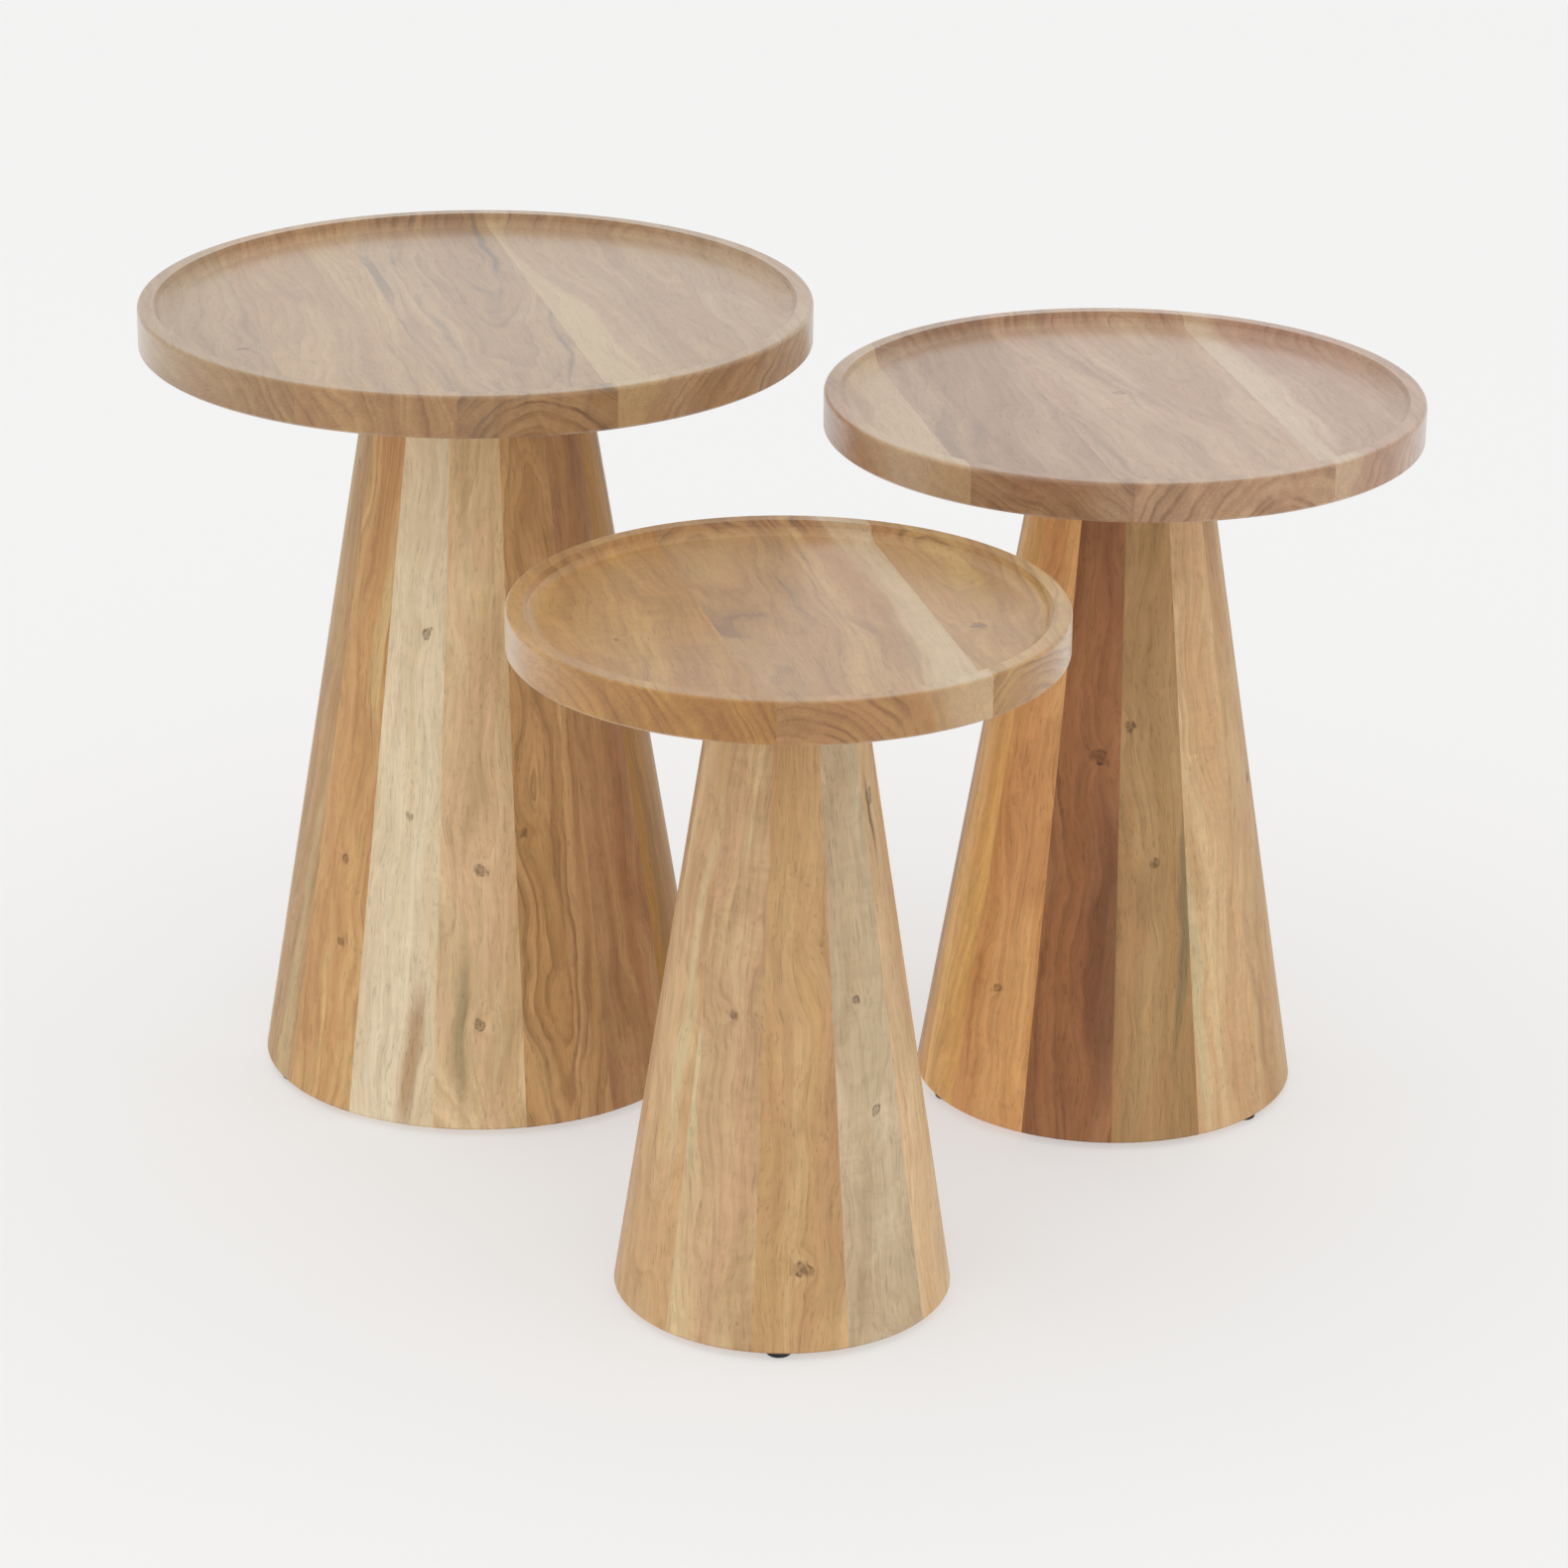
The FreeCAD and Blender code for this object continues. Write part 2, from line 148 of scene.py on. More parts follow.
def buildGrowthRings():
    # how far each point is from the tree's heart, bent by wandering growth and by two knots
    tree, given, out = startGroup("growthRings", [
        ("Board", "Vector"), ("Heart Deep", "Float"), ("Heart Across", "Float"),
        ("Lean Deep", "Float"), ("Lean Across", "Float"), ("Wander", "Float"), ("Seed", "Float"),
        ("Knot One", "Vector"), ("Knot One Size", "Float"), ("Knot Two", "Vector"), ("Knot Two Size", "Float"),
    ], [("Radius", "Float"), ("Knot", "Float"), ("Knot Edge", "Float")])
    deep, across, along = split(tree, given["Board"])
    pushAcross, pushDeep = split(tree, boardNoise(tree, given, ringShape["slowNoise"], 1.5)[1])[:2]
    quick = boardNoise(tree, given, ringShape["quickNoise"])[0]
    crumbs = boardNoise(tree, given, ringShape["crumbNoise"])[0]

    def fromHeart(value, start, lean, push):
        away = calc(tree, "SUBTRACT", value, calc(tree, "MULTIPLY_ADD", along, lean, start))
        return swing(tree, away, push, given["Wander"])

    sideways = fromHeart(across, given["Heart Across"], given["Lean Across"], pushAcross)
    inwards = fromHeart(deep, given["Heart Deep"], given["Lean Deep"], pushDeep)
    quickSize = calc(tree, "MULTIPLY", given["Wander"], ringShape["quickShare"])
    radius = swing(tree, distance(tree, sideways, inwards), quick, quickSize)
    masks = []
    edges = []
    for label in ("Knot One", "Knot Two"):
        size = given[label + " Size"]
        away = vectorCalc(tree, "SUBTRACT", given["Board"], given[label])
        squashed = vectorCalc(tree, "MULTIPLY", away, ringShape["knotSquash"])
        ragged = swing(tree, vectorCalc(tree, "LENGTH", squashed), crumbs, ringShape["knotRagged"])
        near = calc(tree, "DIVIDE", ragged, calc(tree, "MAXIMUM", size, ringShape["knotSmallest"]))
        square = calc(tree, "MULTIPLY", near, near)
        bell = calc(tree, "EXPONENT", calc(tree, "MULTIPLY", square, ringShape["knotFalloff"]))
        radius = calc(tree, "MULTIPLY_ADD", calc(tree, "MULTIPLY", bell, size), ringShape["knotPush"], radius)
        masks.append(ramp(tree, near, *ringShape["knotFace"]))
        rim = ramp(tree, near, *ringShape["knotRim"])
        edges.append(calc(tree, "MULTIPLY", rim, ramp(tree, near, *ringShape["knotInside"])))
    feed(tree, out["Radius"], radius)
    feed(tree, out["Knot"], calc(tree, "MAXIMUM", *masks))
    feed(tree, out["Knot Edge"], calc(tree, "MAXIMUM", *edges))
    return tree


bendShape = {"slowNoise": (10, 12, 5.5), "closeNoise": (30, 34, 19), "closeShare": 0.28}


def buildGrainBend():
    # a slow, cloudy field that pushes the fibres a few millimetres sideways on their way up a board
    tree, given, out = startGroup("grainBend", [("Board", "Vector"), ("Seed", "Float")], [("Drift", "Color")])
    slow = boardNoise(tree, given, bendShape["slowNoise"])[1]
    close = boardNoise(tree, given, bendShape["closeNoise"])[1]
    ripple = vectorSwing(tree, close, bendShape["closeShare"])
    feed(tree, out["Drift"], vectorCalc(tree, "ADD", slow, ripple))
    return tree


# bands: counts per metre from the heart, counts per metre along the grain, how far the seed moves them
toneShape = {
    "wideBands": (55, 2.0, 3.1), "narrowBands": (300, 3.5, 4.7), "streakBands": (120, 1.3, 9.3),
    "cloudNoise": (22, 30, 6.5), "gritNoise": (300, 300, 190),
    "ringUneven": 3.2, "lateRise": (0.30, 0.90), "lateDrop": (1.0, 0.90), "cutDarker": 1.5,
    "lateNarrow": (0.30, 0.60, 0.15, 1.0), "lateCloudy": (0.36, 0.60, 0.25, 1.0),
    "paleFrom": (0.36, 0.66), "blushFrom": (0.40, 0.64), "deepFrom": (0.44, 0.72), "deepShare": 0.8,
    "bandFrom": (0.48, 0.74), "bandShare": 0.5, "streakFrom": (0.54, 0.68), "streakRed": (0.40, 0.60),
    "sapRagged": 0.034, "sapEdge": (-0.007, 0.007), "sapStrength": 0.72, "sapMixed": 0.5,
    "patchCloudy": 1.6, "patchBanded": 0.9, "patchEdge": (1.25, 0.35),
    "knotHeart": (0.045, 0.016, 0.007, 1.0), "knotHeartShare": 0.62, "knotGrit": (0.28, 0.62, 0.25, 0.72),
    "knotCrack": (0.028, 0.012, 0.006, 1.0), "crackGrit": (0.60, 0.36, 0.0, 0.7),
}


def buildRingTone():
    # colour of the wood from its place in the tree
    tree, given, out = startGroup("ringTone", [
        ("Board", "Vector"), ("Radius", "Float"), ("Knot", "Float"), ("Knot Edge", "Float"), ("Seed", "Float"),
        ("End Grain", "Float"), ("Ring Gap", "Float"), ("Ring Strength", "Float"), ("Cloud Strength", "Float"),
        ("Pale", "Color"), ("Main", "Color"), ("Deep", "Color"), ("Blush", "Color"),
        ("Sap", "Color"), ("Sap From", "Float"), ("Streak", "Float"), ("Streak Colour", "Color"),
        ("Patch", "Vector"), ("Patch Across", "Float"), ("Patch Along", "Float"),
        ("Patch Strength", "Float"), ("Patch Colour", "Color"),
    ], [("Colour", "Color"), ("Late Wood", "Float")])
    across, along = split(tree, given["Board"])[1:]

    def bands(perMetre, drift, shift):
        # noise that follows the rings and runs long with the grain
        point = tree.nodes.new("ShaderNodeCombineXYZ")
        start = calc(tree, "MULTIPLY", given["Seed"], shift)
        feed(tree, point.inputs["X"], calc(tree, "MULTIPLY", given["Radius"], perMetre))
        feed(tree, point.inputs["Y"], calc(tree, "MULTIPLY_ADD", along, drift, start))
        feed(tree, point.inputs["Z"], calc(tree, "MULTIPLY_ADD", across, drift * 2, given["Seed"]))
        return noise(tree, point.outputs["Vector"], 1.0, 3.0, 0.55)[0]

    wide = bands(*toneShape["wideBands"])
    narrow = bands(*toneShape["narrowBands"])
    clouds, cloudColour = boardNoise(tree, given, toneShape["cloudNoise"], 3.0, 0.55, 0.9)
    cloudRed, cloudGreen, cloudBlue = split(tree, cloudColour)

    # late wood: darkens slowly through each ring, then stops at a sharp edge
    ringCount = calc(tree, "DIVIDE", given["Radius"], given["Ring Gap"])
    phase = calc(tree, "FRACT", calc(tree, "MULTIPLY_ADD", wide, toneShape["ringUneven"], ringCount))
    late = ramp(tree, phase, *toneShape["lateRise"])
    late = calc(tree, "MULTIPLY", late, ramp(tree, phase, *toneShape["lateDrop"]))
    late = calc(tree, "MULTIPLY", late, ramp(tree, narrow, *toneShape["lateNarrow"]))
    late = calc(tree, "MULTIPLY", late, ramp(tree, cloudGreen, *toneShape["lateCloudy"]))
    darker = calc(tree, "MULTIPLY_ADD", given["End Grain"], toneShape["cutDarker"], 1.0)
    strength = calc(tree, "MULTIPLY", given["Ring Strength"], darker)

    # broad tones, clouds, bands and rings, one over the other
    body = blendColour(tree, ramp(tree, wide, *toneShape["paleFrom"]), given["Main"], given["Pale"])
    blushMask = ramp(tree, cloudBlue, *toneShape["blushFrom"])
    body = stain(tree, body, given["Blush"], blushMask, given["Cloud Strength"])
    deepStrength = calc(tree, "MULTIPLY", given["Cloud Strength"], toneShape["deepShare"])
    body = stain(tree, body, given["Deep"], ramp(tree, clouds, *toneShape["deepFrom"]), deepStrength)
    bandStrength = calc(tree, "MULTIPLY", strength, toneShape["bandShare"])
    body = stain(tree, body, given["Deep"], ramp(tree, narrow, *toneShape["bandFrom"]), bandStrength)
    body = stain(tree, body, given["Deep"], late, strength)
    streaks = ramp(tree, bands(*toneShape["streakBands"]), *toneShape["streakFrom"])
    streaks = calc(tree, "MULTIPLY", streaks, ramp(tree, cloudRed, *toneShape["streakRed"]))
    body = stain(tree, body, given["Streak Colour"], streaks, given["Streak"])

    # pale sapwood beyond a set distance from the heart
    ragged = swing(tree, given["Radius"], wide, toneShape["sapRagged"])
    pastSap = calc(tree, "SUBTRACT", ragged, given["Sap From"])
    sapTone = stain(tree, given["Sap"], given["Main"], clouds, toneShape["sapMixed"])
    body = stain(tree, body, sapTone, ramp(tree, pastSap, *toneShape["sapEdge"]), toneShape["sapStrength"])

    # one long patch of another colour, with a ragged edge
    stepAcross, stepAlong = split(tree, vectorCalc(tree, "SUBTRACT", given["Board"], given["Patch"]))[1:]
    stepAcross = calc(tree, "DIVIDE", stepAcross, given["Patch Across"])
    stepAlong = calc(tree, "DIVIDE", stepAlong, given["Patch Along"])
    reach = swing(tree, distance(tree, stepAcross, stepAlong), clouds, toneShape["patchCloudy"])
    reach = swing(tree, reach, narrow, toneShape["patchBanded"])
    patchMask = ramp(tree, reach, *toneShape["patchEdge"])
    body = stain(tree, body, given["Patch Colour"], patchMask, given["Patch Strength"])

    # knots: a brown face inside a cracked dark rim
    grit = boardNoise(tree, given, toneShape["gritNoise"])[0]
    knotTone = blendColour(tree, toneShape["knotHeartShare"], given["Deep"], toneShape["knotHeart"])
    body = stain(tree, body, knotTone, given["Knot"], ramp(tree, grit, *toneShape["knotGrit"]))
    crackMask = ramp(tree, grit, *toneShape["crackGrit"])
    body = stain(tree, body, toneShape["knotCrack"], given["Knot Edge"], crackMask)
    feed(tree, out["Colour"], body)
    feed(tree, out["Late Wood"], late)
    return tree


fibreShape = {
    "fibreNoise": (620, 620, 13), "brushedNoise": (190, 190, 5), "dashNoise": (950, 950, 48),
    "speckNoise": (1100, 1100, 60), "curlNoise": (16, 24, 62),
    "dashFrom": (0.57, 0.70), "speckFrom": (0.58, 0.70), "brushedShare": 1.3, "poreDark": -0.32,
    # per channel: how strongly light and dark show, and what cut ends lose by soaking up more oil
    "channels": (("Red", 0.99, -0.08), ("Green", 1.0, -0.17), ("Blue", 1.03, -0.26)),
}


def buildFibreAndPores():
    # fine fibre streaks and the short dark pores that run with them
    tree, given, out = startGroup("fibreAndPores", [
        ("Board", "Vector"), ("Colour", "Color"), ("Seed", "Float"),
        ("End Grain", "Float"), ("Fibre", "Float"), ("Pores", "Float"), ("Curl", "Float"),
    ], [("Colour", "Color"), ("Pits", "Float")])
    fibre = boardNoise(tree, given, fibreShape["fibreNoise"], 3.0, 0.6)[0]
    brushed = boardNoise(tree, given, fibreShape["brushedNoise"], 2.5, 0.6, 0.4)[0]
    dashes = boardNoise(tree, given, fibreShape["dashNoise"], 1.0)[0]
    specks = boardNoise(tree, given, fibreShape["speckNoise"], 1.0)[0]
    curl = boardNoise(tree, given, fibreShape["curlNoise"], 2.5, 0.55, 2.2)[0]
    longPores = calc(tree, "MULTIPLY", ramp(tree, dashes, *fibreShape["dashFrom"]), given["Pores"])
    cutStrength = calc(tree, "MULTIPLY", given["Pores"], given["End Grain"])
    cutPores = calc(tree, "MULTIPLY", ramp(tree, specks, *fibreShape["speckFrom"]), cutStrength)
    pits = calc(tree, "MAXIMUM", longPores, cutPores)
    light = swing(tree, 1.0, fibre, given["Fibre"])
    light = swing(tree, light, brushed, calc(tree, "MULTIPLY", given["Fibre"], fibreShape["brushedShare"]))
    light = swing(tree, light, curl, given["Curl"])
    light = calc(tree, "MULTIPLY_ADD", pits, fibreShape["poreDark"], light)
    shade = tree.nodes.new("ShaderNodeCombineColor")
    for channel, contrast, soaked in fibreShape["channels"]:
        tint = calc(tree, "MULTIPLY_ADD", given["End Grain"], soaked, 1.0)
        feed(tree, shade.inputs[channel], calc(tree, "MULTIPLY", calc(tree, "POWER", light, contrast), tint))
    feed(tree, out["Colour"], blendColour(tree, 1.0, given["Colour"], shade.outputs["Color"], "MULTIPLY"))
    feed(tree, out["Pits"], pits)
    return tree


def buildEndGrain():
    # 1 where the surface cuts across the fibres, 0 where it runs with them
    tree, given, out = startGroup("endGrain", [("Normal", "Vector"), ("Along", "Vector")], [("Mask", "Float")])
    facing = calc(tree, "ABSOLUTE", vectorCalc(tree, "DOT_PRODUCT", given["Normal"], given["Along"]))
    feed(tree, out["Mask"], ramp(tree, facing, 0.25, 0.9))
    return tree


oilShape = {
    "rubScale": 26.0, "markScale": 240.0, "markHeight": 0.25,
    # what late wood, pores and cut ends add to the roughness, and how high or low they stand
    "lateRough": 0.05, "poreRough": 0.18, "cutRough": 0.07, "lateHeight": 0.12, "poreHeight": -1.0,
}


def buildOiledFinish():
    # hand-rubbed oil: satin, drier over late wood, pores and end grain
    tree, given, out = startGroup("oiledFinish", [
        ("Place", "Vector"), ("Late Wood", "Float"), ("Pits", "Float"), ("End Grain", "Float"),
        ("Satin", "Float"), ("Uneven", "Float"),
    ], [("Roughness", "Float"), ("Height", "Float")])
    rub = noise(tree, given["Place"], oilShape["rubScale"], 3.0, 0.6)[0]
    marks = noise(tree, given["Place"], oilShape["markScale"])[0]
    rough = swing(tree, given["Satin"], rub, given["Uneven"])
    rough = calc(tree, "MULTIPLY_ADD", given["Late Wood"], oilShape["lateRough"], rough)
    rough = calc(tree, "MULTIPLY_ADD", given["Pits"], oilShape["poreRough"], rough)
    rough = calc(tree, "MULTIPLY_ADD", given["End Grain"], oilShape["cutRough"], rough)
    height = calc(tree, "MULTIPLY", marks, oilShape["markHeight"])
    height = calc(tree, "MULTIPLY_ADD", given["Pits"], oilShape["poreHeight"], height)
    height = calc(tree, "MULTIPLY_ADD", given["Late Wood"], oilShape["lateHeight"], height)
    feed(tree, out["Roughness"], rough)
    feed(tree, out["Height"], height)
    return tree


growthRings = buildGrowthRings()
grainBend = buildGrainBend()
ringTone = buildRingTone()
fibreAndPores = buildFibreAndPores()
endGrain = buildEndGrain()
oiledFinish = buildOiledFinish()
print("shared wood effects built")

plainBoard = {
    "pale": "#cfa878", "main": "#bd9466", "deep": "#93683f", "blush": "#c08d68",
    "heart": (-0.030, 0.000), "lean": (0.09, 0.01),  # where the tree's heart is, and how it leans: deep, across
    "wander": 0.030, "bend": 0.045, "ringGap": 0.0070, "rings": 0.30, "clouds": 0.45, "knots": [],
    "sapFrom": 1.0, "sap": "#d6c29c", "streak": 0.0, "streakColour": "#6e5a40",
    "patch": (0.0, 0.0, 0.0), "patchSize": (0.01, 0.05), "patchStrength": 0.0, "patchColour": "#6e5a40",
    "fibre": 0.30, "pores": 0.6, "curl": 0.14,
    "satin": 0.45, "uneven": 0.10, "shine": 0.35, "coat": 0.0, "haze": 0.0,
}
polish = {
    "bumpStrength": 0.35, "bumpHeight": 0.00025, "ior": 1.48, "hazeRoughness": 0.35,
    "coatRoughness": 0.26, "coatIor": 1.55,
}
noKnot = ((9, 9, 9), 0.0)  # far off the board


def boardMaterial(name, start, turn, seed, look):
    # start: where the board's own axes begin; turn: rotation from those axes to the room's
    look = {**plainBoard, **look}
    material = bpy.data.materials.new(name)
    material.use_nodes = True
    tree = material.node_tree
    shader = tree.nodes["Principled BSDF"]
    coords = tree.nodes.new("ShaderNodeTexCoord")
    mapping = tree.nodes.new("ShaderNodeMapping")
    mapping.vector_type = "TEXTURE"
    mapping.inputs["Location"].default_value = start
    mapping.inputs["Rotation"].default_value = turn.to_euler("XYZ")
    tree.links.new(coords.outputs["Object"], mapping.inputs["Vector"])
    straight = mapping.outputs["Vector"]
    drift = place(tree, grainBend, board=straight, seed=seed)["Drift"]
    board = vectorCalc(tree, "ADD", straight, vectorSwing(tree, drift, look["bend"]))

    heartDeep, heartAcross = look["heart"]
    leanDeep, leanAcross = look["lean"]
    (knotOne, knotOneSize), (knotTwo, knotTwoSize) = (look["knots"] + [noKnot, noKnot])[:2]
    rings = place(tree, growthRings, board=board, heartDeep=heartDeep, heartAcross=heartAcross,
                  leanDeep=leanDeep, leanAcross=leanAcross, wander=look["wander"], seed=seed,
                  knotOne=knotOne, knotOneSize=knotOneSize, knotTwo=knotTwo, knotTwoSize=knotTwoSize)
    cut = place(tree, endGrain, normal=coords.outputs["Normal"], along=turn @ Vector((0, 0, 1)))
    parts = ("pale", "main", "deep", "blush", "sap", "streakColour", "patchColour")
    tone = place(tree, ringTone, board=board, radius=rings["Radius"], knot=rings["Knot"],
                 knotEdge=rings["Knot Edge"], seed=seed, endGrain=cut["Mask"], ringGap=look["ringGap"],
                 ringStrength=look["rings"], cloudStrength=look["clouds"], sapFrom=look["sapFrom"],
                 streak=look["streak"], patch=look["patch"], patchAcross=look["patchSize"][0],
                 patchAlong=look["patchSize"][1], patchStrength=look["patchStrength"],
                 **{part: hexColour(look[part]) for part in parts})
    grain = place(tree, fibreAndPores, board=board, colour=tone["Colour"], seed=seed, endGrain=cut["Mask"],
                  fibre=look["fibre"], pores=look["pores"], curl=look["curl"])
    finish = place(tree, oiledFinish, place=board, lateWood=tone["Late Wood"], pits=grain["Pits"],
                   endGrain=cut["Mask"], satin=look["satin"], uneven=look["uneven"])
    bump = tree.nodes.new("ShaderNodeBump")
    bump.inputs["Strength"].default_value = polish["bumpStrength"]
    bump.inputs["Distance"].default_value = polish["bumpHeight"]
    tree.links.new(grain["Colour"], shader.inputs["Base Color"])
    tree.links.new(finish["Roughness"], shader.inputs["Roughness"])
    tree.links.new(finish["Height"], bump.inputs["Height"])
    tree.links.new(bump.outputs["Normal"], shader.inputs["Normal"])
    shader.inputs["IOR"].default_value = polish["ior"]
    shader.inputs["Specular IOR Level"].default_value = look["shine"]
    shader.inputs["Sheen Weight"].default_value = look["haze"]
    shader.inputs["Sheen Roughness"].default_value = polish["hazeRoughness"]
    shader.inputs["Coat Weight"].default_value = look["coat"]
    shader.inputs["Coat Roughness"].default_value = polish["coatRoughness"]
    shader.inputs["Coat IOR"].default_value = polish["coatIor"]
    return material


def dress(node, material):
    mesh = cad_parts[node].data
    mesh.materials.clear()
    mesh.materials.append(material)


# lengths are metres, turns are degrees about +Z from +X, lean is metres inwards per metre up
tables = {
    "large": {"axis": (-0.2036, 0.1580), "foot": 0.153, "lean": 0.1629, "staves": 15, "staveTurn": -88.2,
              "planks": 5, "plankTurn": 14.4, "top": 0.545},
    "medium": {"axis": (0.2286, 0.1233), "foot": 0.1295, "lean": 0.1615, "staves": 13, "staveTurn": -76.45,
               "planks": 4, "plankTurn": 12.5, "top": 0.495},
    "small": {"axis": (0.0066, -0.2105), "foot": 0.1075, "lean": 0.1517, "staves": 11, "staveTurn": -83.4,
              "planks": 3, "plankTurn": 14.0, "top": 0.460},
}

# board looks by number; boards not listed get one of the common tones
staveLooks = {
    "large": {
        1: {
            "pale": "#edd2a6", "main": "#dbba8a", "deep": "#a6865d", "blush": "#e3b891",
            "heart": (-0.045, -0.034), "lean": (0.03, 0.03), "rings": 0.24, "patch": (0, -0.014, 0.075),
            "patchSize": (0.007, 0.07), "patchStrength": 0.6, "patchColour": "#8a7d55",
            "knots": [((0, 0.006, 0.185), 0.004), ((0, 0.002, 0.085), 0.005)],
        },
        2: {
            "pale": "#d7ac77", "main": "#c49762", "deep": "#88633c", "blush": "#cb9a6e",
            "heart": (-0.020, 0.000), "lean": (0.085, 0.0), "rings": 0.55, "ringGap": 0.0085,
            "wander": 0.022, "clouds": 0.30, "knots": [((0, -0.012, 0.21), 0.003)],
        },
        3: {
            "pale": "#c09667", "main": "#ac7f55", "deep": "#875c39", "blush": "#b27e59",
            "heart": (-0.02, 0.16), "rings": 0.20, "curl": 0.20,
        },
        4: {
            "pale": "#bd8c39", "main": "#a77b2e", "deep": "#7f561c", "blush": "#af7b30",
            "heart": (-0.04, -0.09), "rings": 0.24,
        },
        13: {
            "pale": "#cba774", "main": "#b89262", "deep": "#8a673f", "blush": "#c39162",
            "heart": (-0.022, -0.008), "lean": (0.085, 0.01), "rings": 0.36, "patch": (0, 0.018, 0.10),
            "patchSize": (0.007, 0.20), "patchStrength": 0.6, "patchColour": "#c9b083",
        },
        14: {
            "pale": "#deb57b", "main": "#cc9c64", "deep": "#9c673c", "blush": "#ce9460",
            "heart": (-0.05, 0.05), "lean": (0.05, 0.05), "rings": 0.34, "patch": (0, 0.018, 0.34),
            "patchSize": (0.008, 0.09), "patchStrength": 0.6, "patchColour": "#d8bd86",
            "knots": [((0, 0.008, 0.18), 0.0035), ((0, 0.008, 0.125), 0.003)],
        },
        15: {
            "pale": "#eddcbc", "main": "#e6d0aa", "deep": "#c4a980", "blush": "#e0cbaa",
            "heart": (-0.03, 0.06), "lean": (0.0, 0.02), "rings": 0.16, "clouds": 0.35,
            "patch": (0, 0.012, 0.055), "patchSize": (0.007, 0.06), "patchStrength": 0.7,
            "patchColour": "#a97d50",
            "knots": [((0, 0.010, 0.345), 0.0045), ((0, 0.002, 0.215), 0.0035)],
        },
    },
    "medium": {
        1: {
            "pale": "#bf9968", "main": "#af8857", "deep": "#876d43", "blush": "#b58558",
            "heart": (-0.03, 0.03), "rings": 0.26, "ringGap": 0.009, "patch": (0, 0.020, 0.155),
            "patchSize": (0.006, 0.09), "patchStrength": 0.65, "patchColour": "#77704f",
            "knots": [((0, -0.010, 0.285), 0.0045), ((0, -0.004, 0.195), 0.003)],
        },
        2: {
            "pale": "#e1c192", "main": "#d4ad7e", "deep": "#ad8257", "blush": "#d6a576",
            "heart": (-0.03, 0.08), "rings": 0.22, "curl": 0.22, "patch": (0, -0.026, 0.10),
            "patchSize": (0.005, 0.11), "patchStrength": 0.8, "patchColour": "#cbb98f",
        },
        3: {
            "pale": "#d4b382", "main": "#c59d6b", "deep": "#9f734e", "blush": "#c5946b",
            "heart": (-0.05, -0.06), "rings": 0.22, "knots": [((0, 0.004, 0.235), 0.004)],
        },
        11: {
            "pale": "#fece81", "main": "#e9b76d", "deep": "#b9844b", "blush": "#efb26c",
            "heart": (-0.04, 0.06), "rings": 0.26,
        },
        12: {
            "pale": "#f6c281", "main": "#e1a869", "deep": "#b07647", "blush": "#e5a26a",
            "heart": (-0.02, 0.14), "rings": 0.26, "fibre": 0.28,
            "knots": [((0, -0.004, 0.10), 0.0035)],
        },
        13: {
            "pale": "#b5835a", "main": "#a26c45", "deep": "#6b4125", "blush": "#a66d45",
            "heart": (-0.018, 0.018), "lean": (0.05, 0.0), "rings": 0.42, "ringGap": 0.011,
            "patch": (0, 0.016, 0.135), "patchSize": (0.016, 0.10), "patchStrength": 0.6,
            "patchColour": "#6a4228", "knots": [((0, 0.012, 0.265), 0.0055)],
        },
    },
    "small": {
        1: {
            "pale": "#d9b482", "main": "#c8a06c", "deep": "#a0724c", "blush": "#ca9a6e",
            "heart": (-0.02, 0.17), "rings": 0.24, "ringGap": 0.006, "fibre": 0.30,
            "knots": [((0, 0.004, 0.060), 0.0045)],
        },
        2: {
            "pale": "#d7c3a2", "main": "#ccb591", "deep": "#a48761", "blush": "#c7a985",
            "heart": (-0.024, 0.004), "lean": (0.06, 0.0), "rings": 0.26, "curl": 0.26,
            "knots": [((0, 0.006, 0.155), 0.004), ((0, -0.010, 0.225), 0.003)],
        },
        3: {
            "pale": "#ebcda0", "main": "#d9b887", "deep": "#a77d56", "blush": "#daab81",
            "heart": (-0.04, -0.07), "rings": 0.26, "patch": (0, -0.010, 0.33),
            "patchSize": (0.003, 0.035), "patchStrength": 0.8, "patchColour": "#6a472c",
            "knots": [((0, -0.006, 0.345), 0.005)],
        },
        10: {
            "pale": "#e4c495", "main": "#d3ad7a", "deep": "#a67c4f", "blush": "#d5a579",
            "heart": (-0.016, -0.006), "lean": (-0.085, 0.0), "rings": 0.32, "patch": (0, 0.018, 0.25),
            "patchSize": (0.006, 0.14), "patchStrength": 0.7, "patchColour": "#d8c296",
        },
        11: {
            "pale": "#dfc293", "main": "#cdaa7c", "deep": "#a07452", "blush": "#ce9e7c",
            "heart": (-0.03, 0.05), "rings": 0.24, "curl": 0.28, "patch": (0, -0.018, 0.19),
            "patchSize": (0.006, 0.09), "patchStrength": 0.7, "patchColour": "#d6c298",
            "knots": [((0, 0.008, 0.22), 0.0035)],
        },
    },
}
